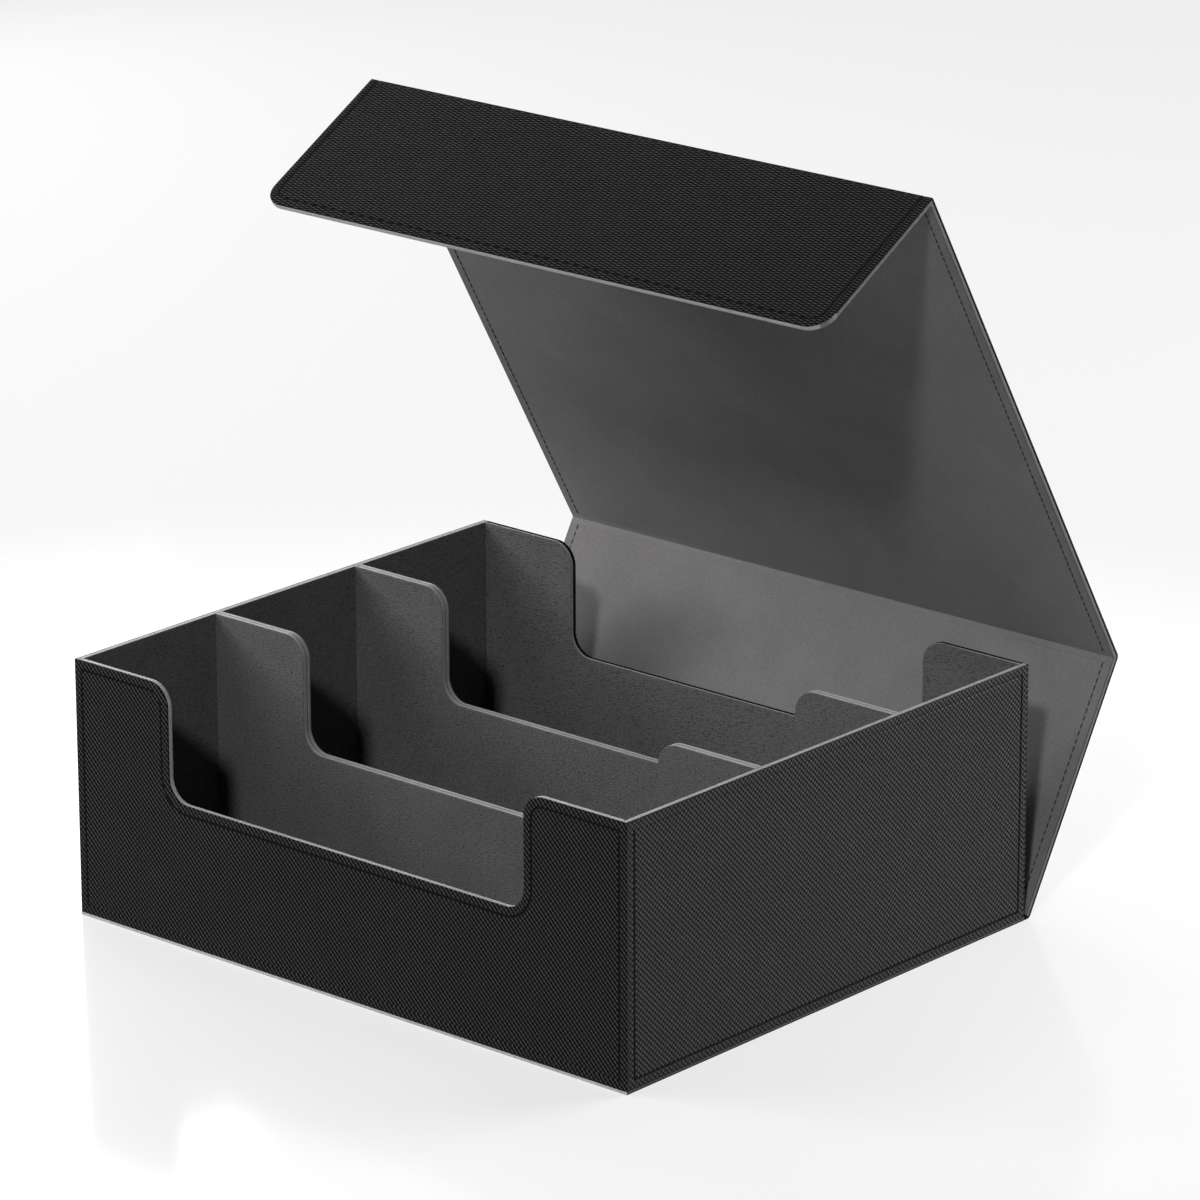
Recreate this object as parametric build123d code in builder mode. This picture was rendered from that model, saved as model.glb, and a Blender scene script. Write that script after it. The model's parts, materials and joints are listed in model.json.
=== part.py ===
from build123d import *

import os
from math import cos, radians, sin, tan

# Tray, outside sizes in millimetres: length along X, width along Y, walls above the base
tray_length = 300.0
tray_width = 250.0
wall_height = 110.8

# Layers of a wall or a cover panel, from outside in: covering, board, lining
skin = 0.5
wall_board = 1.8
lining = 0.5

# Boards of the base, the floor and one divider ply
base_board = 0.7
floor_board = 2.0
ply_board = 1.65

# Wide notch that the front wall, both dividers and the rear wall share, measured from the rim
notch_width = 193.6
notch_depth = 49.5
notch_radius = 10.0

# Clear widths of the outer lanes; the middle lane takes what is left
front_lane = 76.8
rear_lane = 78.2

# Cover: clearances around the closed tray, and the flap that hangs over the front wall
rear_clearance = 0.8
front_clearance = 0.8
top_clearance = 0.4
flap_length = 79.0
flap_corner_radius = 10.0

# Folds: where the covering starts to bend, where its strip begins, and the slack of the inner crease
fold_tangent = 1.5
fold_reach = 2.5
crease_slack = 1.5

# Rest pose of the open cover, in degrees: each panel's turn from the one before it
back_turn = 60.0
top_turn = 60.0
flap_turn = 90.0

# Magnet discs that hold the flap against the front wall
magnet_diameter = 14.0
magnet_edge = 14.0
magnet_clearance = 0.1

# Worked out from the sizes above
panel = skin + wall_board + lining
base_thickness = skin + base_board
floor_top = base_thickness + floor_board
rim_height = base_thickness + wall_height
half_length = tray_length / 2
half_width = tray_width / 2
board_half_length = half_length - skin - wall_board
board_half_width = half_width - skin - wall_board
inner_half_length = half_length - panel
inner_half_width = half_width - panel
ply = ply_board + lining
back_length = rim_height + top_clearance + panel
top_length = tray_width + rear_clearance + front_clearance + 2 * panel
crease_reach = panel + crease_slack
magnet_x = (half_length + notch_width / 2) / 2
magnet_height = back_length - flap_length + magnet_edge
pocket_radius = magnet_diameter / 2 + magnet_clearance

FRONT, REAR = -1, 1
LEFT, RIGHT = -1, 1

os.makedirs("parts", exist_ok=True)


def save(piece, name):
    """Label a finished piece and write it under its own name."""
    piece.part.label = name
    export_step(piece.part, f"parts/{name}.step")


def across(side, depth):
    """Plane along the front or rear wall, at a depth in from its outer face."""
    return Plane.XZ.offset(side * (depth - half_width))


def along(side, depth):
    """Plane along the left or right wall, at a depth in from its outer face."""
    return Plane.YZ.offset(side * (half_length - depth))


def plain_face(half, bottom, top):
    """Add an upright rectangle to the sketch in hand."""
    with Locations((0, (bottom + top) / 2)):
        Rectangle(2 * half, top - bottom)


def notched_face(half, bottom, inset):
    """A wall's face with the notch, drawn back from the rim and the notch by the inset."""
    top = rim_height - inset
    notch_floor = rim_height - notch_depth - inset
    with BuildSketch(mode=Mode.PRIVATE) as face:
        plain_face(half, bottom, top)
        with Locations((0, (notch_floor + top) / 2)):
            Rectangle(notch_width + 2 * inset, top - notch_floor, mode=Mode.SUBTRACT)
        notch_corners = face.vertices().sort_by(lambda corner: abs(corner.X))[:4]
        fillet(notch_corners.group_by(Axis.Y)[-1], notch_radius - inset)
        fillet(face.vertices().group_by(Axis.Y)[1], notch_radius + inset)
    return face.sketch


def notched_lining(half, bottom, rim_plane, face_plane, rim_amount, face_amount):
    """Lining of a notched board: a rim turned over the board's edge, and a sheet on its face."""
    full = notched_face(half, bottom, 0)
    drawn_back = notched_face(half, bottom, lining)
    with BuildPart() as piece:
        with BuildSketch(face_plane):
            add(full)
        extrude(amount=face_amount)
        with BuildSketch(rim_plane):
            add(full)
            add(drawn_back, mode=Mode.SUBTRACT)
        extrude(amount=rim_amount)
    return piece


# Base of the tray
with BuildPart() as base_cover:
    with BuildSketch():
        Rectangle(tray_length, tray_width)
    extrude(amount=skin)
save(base_cover, "base_cover")

with BuildPart() as base_sheet:
    with BuildSketch(Plane.XY.offset(skin)):
        Rectangle(tray_length, tray_width)
    extrude(amount=base_board)
save(base_sheet, "base_board")

with BuildPart() as floor_sheet:
    with BuildSketch(Plane.XY.offset(base_thickness)):
        Rectangle(2 * board_half_length, 2 * board_half_width)
    extrude(amount=floor_board)
save(floor_sheet, "floor_board")

# Front and rear walls, with the notch
magnet_places = [(side * magnet_x, magnet_height) for side in (LEFT, RIGHT)]

for wall, side in (("front", FRONT), ("rear", REAR)):
    with BuildPart() as wall_cover:
        with BuildSketch(across(side, 0)):
            add(notched_face(half_length, base_thickness, 0))
        extrude(amount=side * skin)
    save(wall_cover, f"{wall}_wall_cover")

    with BuildPart() as wall_sheet:
        with BuildSketch(across(side, skin)):
            add(notched_face(board_half_length, base_thickness, lining))
        extrude(amount=side * wall_board)
        if side == FRONT:
            with BuildSketch(across(side, skin)):
                with Locations(*magnet_places):
                    Circle(pocket_radius)
            extrude(amount=side * wall_board, mode=Mode.SUBTRACT)
    save(wall_sheet, f"{wall}_wall_board")

    wall_lining = notched_lining(
        inner_half_length,
        floor_top,
        across(side, skin),
        across(side, skin + wall_board),
        side * wall_board,
        side * lining,
    )
    save(wall_lining, f"{wall}_wall_lining")

with BuildPart() as tray_magnets:
    with BuildSketch(across(FRONT, skin)):
        with Locations(*magnet_places):
            Circle(magnet_diameter / 2)
    extrude(amount=FRONT * wall_board)
save(tray_magnets, "tray_magnets")

# Left and right walls, full height, between the front and rear coverings
for wall, side in (("left", LEFT), ("right", RIGHT)):
    with BuildPart() as wall_cover:
        with BuildSketch(along(side, 0)):
            plain_face(half_width - skin, base_thickness, rim_height)
        extrude(amount=-side * skin)
    save(wall_cover, f"{wall}_wall_cover")

    with BuildPart() as wall_sheet:
        with BuildSketch(along(side, skin)):
            plain_face(half_width - skin, base_thickness, rim_height - lining)
        extrude(amount=-side * wall_board)
    save(wall_sheet, f"{wall}_wall_board")

    with BuildPart() as wall_lining:
        with BuildSketch(along(side, skin + wall_board)):
            plain_face(board_half_width, floor_top, rim_height)
        extrude(amount=-side * lining)
        with BuildSketch(along(side, skin)):
            plain_face(half_width - skin, rim_height - lining, rim_height)
        extrude(amount=-side * (wall_board + lining))
    save(wall_lining, f"{wall}_wall_lining")

# Dividers: two plies back to back, each lined on its outer face and over its rim
front_divider_middle = front_lane + ply - inner_half_width
rear_divider_middle = inner_half_width - rear_lane - ply

for divider, middle in (("front", front_divider_middle), ("rear", rear_divider_middle)):
    for face, side in (("front", FRONT), ("rear", REAR)):
        with BuildPart() as ply_sheet:
            with BuildSketch(Plane.XZ.offset(-middle)):
                add(notched_face(inner_half_length, floor_top, lining))
            extrude(amount=-side * ply_board)
        save(ply_sheet, f"{divider}_divider_{face}_board")

        ply_lining = notched_lining(
            inner_half_length,
            floor_top,
            Plane.XZ.offset(-middle),
            Plane.XZ.offset(-middle - side * ply_board),
            -side * ply_board,
            -side * lining,
        )
        save(ply_lining, f"{divider}_divider_{face}_lining")

# Lining on the floor of each lane
lanes = {
    "front": (-inner_half_width, front_divider_middle - ply),
    "middle": (front_divider_middle + ply, rear_divider_middle - ply),
    "rear": (rear_divider_middle + ply, inner_half_width),
}

for lane, (near, far) in lanes.items():
    with BuildPart() as lane_lining:
        with BuildSketch(Plane.XY.offset(floor_top)):
            with Locations((0, (near + far) / 2)):
                Rectangle(2 * inner_half_length, far - near)
        extrude(amount=lining)
    save(lane_lining, f"{lane}_lane_lining")


# Cover: fold lines as (y, z) and each panel's direction in degrees up from +Y
def onward(line, angle, length):
    """The fold line at the far end of a panel."""
    return (line[0] + length * cos(radians(angle)), line[1] + length * sin(radians(angle)))


back_angle = back_turn
top_angle = back_angle + top_turn
flap_angle = top_angle + flap_turn
back_line = (half_width + rear_clearance + panel, 0)
top_line = onward(back_line, back_angle, back_length)
flap_line = onward(top_line, top_angle, top_length)

# A panel's ends as (distance from its end, depth from its outer face)
mitred_board = ((fold_tangent, skin), (fold_tangent + wall_board, skin + wall_board))
mitred_lining = mitred_board + ((crease_reach, skin + wall_board), (crease_reach, panel))
footed_board = ((fold_tangent + lining, skin), (fold_tangent + lining, skin + wall_board))
footed_lining = ((fold_tangent, skin), (fold_tangent, panel))
free_board = ((lining, skin), (lining, skin + wall_board))
free_lining = ((0, skin), (0, panel))


def section_plane(line, angle):
    """Plane across a panel: local X runs along the panel, local Y in from its outer face."""
    return Plane((0, *line), x_dir=(0, cos(radians(angle)), sin(radians(angle))), z_dir=(1, 0, 0))


def face_plane(line, angle, depth):
    """Plane along a panel, at a depth in from its outer face, with local Y along the panel."""
    inward = (0, -sin(radians(angle)), cos(radians(angle)))
    return Plane((0, *line), x_dir=(1, 0, 0), z_dir=inward).offset(depth)


def panel_section(length, start, end):
    """Outline of a panel's section, from its two ends."""
    return list(start) + [(length - back, depth) for back, depth in reversed(end)]


def rounded_face(half, near, far, radius):
    """Face of the flap, with its two free corners rounded."""
    with BuildSketch(mode=Mode.PRIVATE) as face:
        plain_face(half, near, far)
        fillet(face.vertices().group_by(Axis.Y)[-1], radius)
    return face.sketch


def panel_cover(line, angle, near, far):
    """Covering sheet on a panel's outer face."""
    with BuildPart() as sheet:
        with BuildSketch(face_plane(line, angle, 0)):
            plain_face(half_length, near, far)
        extrude(amount=skin)
    return sheet


def panel_core(line, angle, outline, half):
    """A panel's section drawn out along the box, for its board or for the lining round it."""
    with BuildPart() as core:
        with BuildSketch(section_plane(line, angle)):
            with BuildLine():
                Polyline(*outline, close=True)
            make_face()
        extrude(amount=half, both=True)
    return core


def wrapped_lining(envelope, board):
    """Lining left when the board is taken out of the panel's envelope."""
    with BuildPart() as piece:
        add(envelope.part)
        add(board.part, mode=Mode.SUBTRACT)
    return piece


def fold_cover(line, angle, turn, lead):
    """Strip of covering round the outside of a fold, starting a lead before the fold line."""
    bend_radius = fold_tangent / tan(radians(turn / 2))
    ahead = Vector(cos(radians(turn)), sin(radians(turn)))
    inward = Vector(-sin(radians(turn)), cos(radians(turn)))
    with BuildPart() as strip:
        with BuildSketch(section_plane(line, angle)):
            with BuildLine():
                outer = CenterArc((-fold_tangent, bend_radius), bend_radius, -90, turn)
                inner = CenterArc((-fold_tangent, bend_radius), bend_radius - skin, -90, turn)
                Polyline(outer @ 0, (-lead, 0), (-lead, skin), inner @ 0)
                Polyline(outer @ 1, ahead * fold_reach, ahead * fold_reach + inward * skin, inner @ 1)
            make_face()
        extrude(amount=half_length, both=True)
    return strip


def fold_lining(line, angle, turn):
    """Strip of lining in the crease of a fold."""
    ahead = Vector(cos(radians(turn)), sin(radians(turn)))
    inward = Vector(-sin(radians(turn)), cos(radians(turn)))
    crease_share = tan(radians(turn / 2))
    below = skin + wall_board
    with BuildPart() as strip:
        with BuildSketch(section_plane(line, angle)):
            with BuildLine():
                Polyline(
                    (-crease_reach, panel),
                    (-panel * crease_share, panel),
                    ahead * crease_reach + inward * panel,
                    ahead * crease_reach + inward * below,
                    (-below * crease_share, below),
                    (-crease_reach, below),
                    close=True,
                )
            make_face()
        extrude(amount=half_length, both=True)
    return strip


# Back panel, hinged on the tray's rear lower edge
save(fold_cover(back_line, 0, back_turn, rear_clearance + panel), "back_fold_cover")
save(panel_cover(back_line, back_angle, fold_reach, back_length - fold_reach), "back_panel_cover")

back_outline = panel_section(back_length, footed_board, mitred_board)
back_envelope_outline = panel_section(back_length, footed_lining, mitred_lining)
back_board = panel_core(back_line, back_angle, back_outline, half_length - lining)
back_envelope = panel_core(back_line, back_angle, back_envelope_outline, half_length)
save(back_board, "back_panel_board")
save(wrapped_lining(back_envelope, back_board), "back_panel_lining")

# Top panel, hinged on the back panel
save(fold_cover(top_line, back_angle, top_turn, fold_reach), "top_fold_cover")
save(fold_lining(top_line, back_angle, top_turn), "top_fold_lining")
save(panel_cover(top_line, top_angle, fold_reach, top_length - fold_reach), "top_panel_cover")

top_outline = panel_section(top_length, mitred_board, mitred_board)
top_envelope_outline = panel_section(top_length, mitred_lining, mitred_lining)
top_board = panel_core(top_line, top_angle, top_outline, half_length - lining)
top_envelope = panel_core(top_line, top_angle, top_envelope_outline, half_length)
save(top_board, "top_panel_board")
save(wrapped_lining(top_envelope, top_board), "top_panel_lining")

# Front flap, hinged on the top panel, with its free corners rounded
save(fold_cover(flap_line, top_angle, flap_turn, fold_reach), "flap_fold_cover")
save(fold_lining(flap_line, top_angle, flap_turn), "flap_fold_lining")

flap_face = rounded_face(half_length, 0, flap_length, flap_corner_radius)
flap_board_face = rounded_face(half_length - lining, 0, flap_length - lining, flap_corner_radius - lining)
flap_outline = panel_section(flap_length, mitred_board, free_board)
flap_envelope_outline = panel_section(flap_length, mitred_lining, free_lining)
flap_magnet_places = [(side * magnet_x, flap_length - magnet_edge) for side in (LEFT, RIGHT)]

with BuildPart() as flap_cover:
    add(panel_cover(flap_line, flap_angle, fold_reach, flap_length).part)
    with BuildSketch(face_plane(flap_line, flap_angle, 0)):
        add(flap_face)
    extrude(amount=skin, mode=Mode.INTERSECT)
save(flap_cover, "flap_cover")

with BuildPart() as flap_blank:
    add(panel_core(flap_line, flap_angle, flap_outline, half_length - lining).part)
    with BuildSketch(face_plane(flap_line, flap_angle, 0)):
        add(flap_board_face)
    extrude(amount=panel, mode=Mode.INTERSECT)

with BuildPart() as flap_envelope:
    add(panel_core(flap_line, flap_angle, flap_envelope_outline, half_length).part)
    with BuildSketch(face_plane(flap_line, flap_angle, 0)):
        add(flap_face)
    extrude(amount=panel, mode=Mode.INTERSECT)
save(wrapped_lining(flap_envelope, flap_blank), "flap_lining")

with BuildPart() as flap_board:
    add(flap_blank.part)
    with BuildSketch(face_plane(flap_line, flap_angle, skin)):
        with Locations(*flap_magnet_places):
            Circle(pocket_radius)
    extrude(amount=wall_board, mode=Mode.SUBTRACT)
save(flap_board, "flap_board")

with BuildPart() as flap_magnets:
    with BuildSketch(face_plane(flap_line, flap_angle, skin)):
        with Locations(*flap_magnet_places):
            Circle(magnet_diameter / 2)
    extrude(amount=wall_board)
save(flap_magnets, "flap_magnets")
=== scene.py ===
"""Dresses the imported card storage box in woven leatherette, microfibre lining and stitches."""
import json
from math import cos, pi, radians, sin, tan

import bmesh
import bpy
from mathutils import Euler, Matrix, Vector


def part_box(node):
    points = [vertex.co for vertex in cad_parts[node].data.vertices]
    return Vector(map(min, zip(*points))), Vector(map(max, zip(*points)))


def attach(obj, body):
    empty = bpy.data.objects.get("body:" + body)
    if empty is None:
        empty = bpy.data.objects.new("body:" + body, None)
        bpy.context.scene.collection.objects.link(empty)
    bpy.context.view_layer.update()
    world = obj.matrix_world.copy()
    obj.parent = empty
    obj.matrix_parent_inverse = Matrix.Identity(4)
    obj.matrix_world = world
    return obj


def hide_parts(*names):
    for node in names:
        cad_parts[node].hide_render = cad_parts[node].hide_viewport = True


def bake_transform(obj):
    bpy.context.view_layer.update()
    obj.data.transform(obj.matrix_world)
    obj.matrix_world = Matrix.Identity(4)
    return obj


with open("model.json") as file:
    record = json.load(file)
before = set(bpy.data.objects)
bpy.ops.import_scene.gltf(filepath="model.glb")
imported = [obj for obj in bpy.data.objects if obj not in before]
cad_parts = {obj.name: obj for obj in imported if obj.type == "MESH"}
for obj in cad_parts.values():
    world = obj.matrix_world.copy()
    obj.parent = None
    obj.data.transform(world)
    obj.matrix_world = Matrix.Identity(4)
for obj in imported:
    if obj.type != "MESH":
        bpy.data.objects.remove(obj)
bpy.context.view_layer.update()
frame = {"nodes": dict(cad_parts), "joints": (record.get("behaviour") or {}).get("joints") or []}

# All sizes are in millimetres until a point is placed
MM = 0.001

# Sheets and boards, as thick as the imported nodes
SKIN = 0.5
LINING = 0.5
PANEL = 2.8
LIP = 0.6
REAR_LIP = 1.2
EDGE_WIDTH = PANEL - SKIN - LIP

# Notch that the front wall, the dividers and the rear wall share
NOTCH_HALF = 96.8
NOTCH_FLOOR = 62.5
NOTCH_RADIUS = 10.0

# Rounded corners and edges
ARC_STEPS = 12
LEAST_RADIUS = 0.1
EDGE_STEPS = 4
SMOOTH_BELOW = 50.0
WALL_EDGE = 0.3
BASE_EDGE = 0.2
COVER_EDGE = 0.25
LINING_EDGE = 0.15
FACE_MARGIN = 0.4

# Half of the binding's section over a board's edge, as (inset, depth)
BINDING_CURVE = [(LINING, 0.0), (0.3, 0.0), (0.13, 0.05), (0.04, 0.2), (0.0, 0.45)]

# The covering's turn over an edge, as (inset, depth past the sheet), up to its last point
LIP_CURVE = [(SKIN, -0.05), (0.12, -0.05), (0.02, 0.1), (0.0, 0.3)]
LIP_END_INSET = 0.02

# Cover panels and their folds
FLAP_LENGTH = 79.0
FLAP_RADIUS = 10.0
FLAP_STRAIGHT = 0.5
FOLD_TANGENT = 1.5
FOLD_REACH = 2.5
CREASE_REACH = 4.3
CREASE_RADIUS = 0.35
BACK_FOOT = 0.6
BEND_STEPS = 10

# Hems and their stitches
HEM = 4.0
LINING_HEM = 4.6
GROOVE_HALF = 0.7
GROOVE_STEPS = 4
GROOVE_MARGIN = 0.3
GROOVE_DEPTH = 0.3
PRESSED_SHARE = 0.1
PRESSED_FROM = 1.0
STITCH_PITCH = 3.3
STITCH_LENGTH = 2.9
SEAM_END = STITCH_LENGTH / 2
THREAD_RADIUS = 0.27
STITCH_DEPTH = 0.25
LINING_STITCH_DEPTH = -0.06
STITCH_SEGMENTS = 6
STITCH_RINGS = 5
STITCH_SHORTEST = 0.9
STITCH_SEED = 7

# Rows of a sheet's profile that are its edge, and the edges of an outline that have no hem
EDGE_ROWS = 3
FOOT_EDGE = 0
TOP_EDGE = 2

# Weave of the leatherette: the pitch across and along each sheet
WALL_WEAVE = (2.44, 2.44)
COVER_WEAVE = (5.32, 1.39)

# Microfibre: its tint, how its pits are drawn out, and its gloss
LINING_TINT = (1.02, 0.99, 0.99)
NAP_DRAW = (0.45, 0.45, 1.2)
LINING_GLOSS = 0.04
LINING_SHEEN = 0.03
SHEEN_ROUGHNESS = 0.5

# Gloss of the other finishes, the base board's cut front edge, and the painted shade on its other edges
HEM_GLOSS = 0.01
THREAD_GLOSS = 0.02
PALE_EDGE_DEPTH = 0.1
PAINTED_EDGE_SHADE_SHARE = 0.02


def box_mm(node):
    """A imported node's lowest and highest corners in millimetres."""
    low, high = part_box(node)
    return low / MM, high / MM


wall_low, wall_high = box_mm("front_wall_cover")
HALF_LENGTH = wall_high.x
HALF_WIDTH = -wall_low.y
BASE_TOP = wall_low.z
RIM = wall_high.z
INNER_LENGTH = HALF_LENGTH - PANEL
INNER_WIDTH = HALF_WIDTH - PANEL
LANE_FLOOR = box_mm("front_lane_lining")[1].z


class Face:
    """A flat face of the box: a point on it lies across, up, and some depth behind it."""

    def __init__(self, origin, across, up):
        self.origin = Vector(origin)
        self.across = Vector(across)
        self.up = Vector(up)
        self.out = self.across.cross(self.up)

    def place(self, u, v, depth):
        return (self.origin + self.across * u + self.up * v - self.out * depth) * MM

    def point(self, u, v, depth):
        """A point with its place in the weave."""
        return self.place(u, v, depth), (u, v)

    def behind(self, depth):
        """The face seen from its other side, at a depth behind this one."""
        return Face(self.origin - self.out * depth, -self.across, self.up)


# Outlines: a corner is (across, up, radius), listed anticlockwise as the face is seen
def corner_points(before, corner, after, inset):
    """Points of one corner of an outline, drawn in by the inset; an open path's end has one neighbour."""
    here = Vector(corner[:2])
    arriving = (here - Vector(before[:2])).normalized() if before else None
    leaving = (Vector(after[:2]) - here).normalized() if after else None
    arriving = arriving or leaving
    leaving = leaving or arriving
    side_in = Vector((-arriving.y, arriving.x))
    side_out = Vector((-leaving.y, leaving.x))
    moved = here + inset * (side_in + side_out) / (1 + side_in.dot(side_out))
    radius = corner[2]
    if not radius:
        return [moved]
    turn = arriving.angle_signed(leaving)
    hollow = turn > 0
    radius = radius + inset if hollow else max(radius - inset, LEAST_RADIUS)
    start = moved - arriving * radius * tan(abs(turn) / 2)
    centre = start + side_in * (-radius if hollow else radius)
    spoke = start - centre
    points = []
    for step in range(ARC_STEPS + 1):
        angle = -turn * step / ARC_STEPS
        points.append(centre + Vector((spoke.x * cos(angle) - spoke.y * sin(angle),
                                       spoke.x * sin(angle) + spoke.y * cos(angle))))
    return points


def outline(corners, inset, closed=True):
    """Every point of an outline, drawn in by the inset."""
    last = len(corners) - 1
    points = []
    for index, corner in enumerate(corners):
        before = corners[index - 1] if closed or index > 0 else None
        after = corners[(index + 1) % len(corners)] if closed or index < last else None
        points += corner_points(before, corner, after, inset)
    return points


def rectangle(half, bottom, top):
    return [(-half, bottom, 0), (half, bottom, 0), (half, top, 0), (-half, top, 0)]


def notched_rim(half):
    """The upper edge of a notched wall, from its right end to its left end."""
    return [
        (half, RIM, 0),
        (NOTCH_HALF, RIM, NOTCH_RADIUS),
        (NOTCH_HALF, NOTCH_FLOOR, NOTCH_RADIUS),
        (-NOTCH_HALF, NOTCH_FLOOR, NOTCH_RADIUS),
        (-NOTCH_HALF, RIM, NOTCH_RADIUS),
        (-half, RIM, 0),
    ]


def notched_wall(half, bottom):
    return [(-half, bottom, 0), (half, bottom, 0)] + notched_rim(half)


def inset_top(corners, drop):
    """The same wall with its upper edge and notch lowered, under the binding."""
    lowered = []
    for u, v, radius in corners:
        if abs(u) == NOTCH_HALF:
            u += drop if u > 0 else -drop
        if v == RIM:
            lowered.append((u, v - drop, max(radius - drop, 0)))
        elif v == NOTCH_FLOOR:
            lowered.append((u, v - drop, radius + drop))
        else:
            lowered.append((u, v, radius))
    return lowered


class Piece:
    """Collects the vertices and faces of one piece, then makes it a mesh."""

    def __init__(self, name):
        self.name = name
        self.points = []
        self.weave = []
        self.faces = []
        self.finish = []

    def add_rows(self, rows):
        """Adds rows of (place, weave place) and gives the first vertex and the width of a row."""
        first = len(self.points)
        for row in rows:
            for place, weave in row:
                self.points.append(place)
                self.weave.append(weave)
        return first, len(rows[0])

    def loft(self, rows, ring, tube, finish=0, cap_finish=None):
        """Skins rows; a ring closes each row, a tube closes the rows on each other.

        The finish is one number, or a list with a number, or a list of them, for each row.
        """
        first, width = self.add_rows(rows)
        down = len(rows) if tube else len(rows) - 1
        along = width if ring else width - 1
        for r in range(down):
            for c in range(along):
                below = first + r * width
                above = first + (r + 1) % len(rows) * width
                self.faces.append((below + c, below + (c + 1) % width, above + (c + 1) % width, above + c))
                chosen = finish[r] if isinstance(finish, list) else finish
                self.finish.append(chosen[c] if isinstance(chosen, list) else chosen)
        if ring and tube:
            return
        if ring:
            ends = [range(width), range((len(rows) - 1) * width, len(rows) * width)]
        else:
            ends = [range(0, len(rows) * width, width), range(width - 1, len(rows) * width, width)]
        for end, turned in zip(ends, (True, False)):
            loop = [first + index for index in end]
            self.faces.append(tuple(reversed(loop)) if turned else tuple(loop))
            last = finish[-1] if isinstance(finish, list) else finish
            self.finish.append(last if cap_finish is None else cap_finish)

    def apron(self, rows, finish):
        """Skins rows along an open path, then closes the face, the back and the open side."""
        first, width = self.add_rows(rows)
        for r in range(len(rows) - 1):
            for c in range(width - 1):
                here = first + r * width + c
                self.faces.append((here, here + 1, here + 1 + width, here + width))
                self.finish.append(finish[r])
        starts = [first + r * width for r in range(len(rows))]
        back = list(range(first, first + width))
        face = list(range(starts[-1], starts[-1] + width))
        side = starts + [start + width - 1 for start in reversed(starts)]
        self.faces += [tuple(reversed(back)), tuple(face), tuple(side)]
        self.finish += [0, 0, 0]

    def mesh(self, *materials):
        """The plain mesh, with its faces outward, smooth over its rounded edges."""
        mesh = bpy.data.meshes.new(self.name)
        mesh.from_pydata(self.points, [], self.faces)
        mesh.polygons.foreach_set("material_index", self.finish)
        layer = mesh.uv_layers.new(name="weave")
        for loop in mesh.loops:
            layer.data[loop.index].uv = self.weave[loop.vertex_index]
        for material in materials:
            mesh.materials.append(material)
        edit = bmesh.new()
        edit.from_mesh(mesh)
        bmesh.ops.recalc_face_normals(edit, faces=edit.faces)
        edit.to_mesh(mesh)
        edit.free()
        mesh.shade_smooth()
        mesh.set_sharp_from_angle(angle=radians(SMOOTH_BELOW))
        return mesh


def stand(mesh, replaced):
    """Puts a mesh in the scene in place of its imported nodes."""
    piece = bpy.data.objects.new(mesh.name, mesh)
    bpy.context.collection.objects.link(piece)
    if replaced:
        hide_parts(*replaced)
    return piece


def rounded_edge(radius):
    """Profile of a rounded edge as (inset, depth), from the side to the face."""
    quarter = [pi / 2 * step / EDGE_STEPS for step in range(EDGE_STEPS + 1)]
    return [(radius * (1 - cos(a)), radius * (1 - sin(a))) for a in quarter]


def groove(middle):
    """Profile of the pressed groove that a line of stitches lies in."""
    turns = [step / GROOVE_STEPS for step in range(-GROOVE_STEPS, GROOVE_STEPS + 1)]
    return [(middle + GROOVE_HALF * t, GROOVE_DEPTH * (0.5 + 0.5 * cos(pi * t))) for t in turns]


def sheet_profile(thickness, edge, hem=None):
    """Profile of a sheet from its back edge to its face, with a stitched hem if it has one."""
    profile = [(0, thickness)] + rounded_edge(edge)
    if hem:
        profile.append((hem - GROOVE_HALF - GROOVE_MARGIN, 0))
        profile += groove(hem)
        profile.append((hem + GROOVE_HALF + GROOVE_MARGIN, 0))
    profile.append((profile[-1][0] + FACE_MARGIN, 0))
    return profile


def pressed_rows(profile):
    """Whether each row of a profile lies in the bottom of a hem's groove."""
    following = profile[1:] + profile[:1]
    deep = GROOVE_DEPTH * PRESSED_SHARE
    rows = zip(profile, following)
    return [here[0] > PRESSED_FROM and min(here[1], after[1]) > deep for here, after in rows]


def path_rows(face, profile, corners, closed):
    """Rows of points along an outline on a face, one for each (inset, depth) of a profile."""
    rows = []
    for inset, depth in profile:
        rows.append([face.point(u, v, depth) for u, v in outline(corners, inset, closed)])
    return rows


def add_sheet(piece, face, corners, profile, finish=0, edge_finish=None, hem_finish=None, plain_edge=None):
    """A closed sheet on a face; its plain edge, if it has one, is left without the hem's finish."""
    rows = path_rows(face, profile, corners, closed=True)
    finishes = [finish] * len(rows)
    if edge_finish is not None:
        finishes[:EDGE_ROWS] = [edge_finish] * EDGE_ROWS
    if hem_finish is not None:
        hemmed = [hem_finish] * len(rows[0])
        if plain_edge is not None:
            hemmed[plain_edge] = finish
        # The rows at the bottom of a hem's groove take the hem finish, painted shade
        for row, pressed in enumerate(pressed_rows(profile)):
            if pressed:
                finishes[row] = hemmed
    piece.loft(rows, ring=True, tube=False, finish=finishes, cap_finish=finish)


def binding_profile(width):
    """Section of the binding over a board's edge, as (inset, depth)."""
    far = [(inset, width - depth) for inset, depth in reversed(BINDING_CURVE)]
    return BINDING_CURVE + far


def lip_profile(width):
    """Section of the covering's narrow turn over an edge, as (inset, depth) from the outer face."""
    near = [(inset, SKIN + depth) for inset, depth in LIP_CURVE]
    return near + [(LIP_END_INSET, SKIN + width), (SKIN, SKIN + width)]


def binding_finishes(side, edge):
    """Finish of each row of a binding: the edge itself, and its two sides."""
    return [side, side, side, edge, edge, edge, side, side, side, side]


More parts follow.
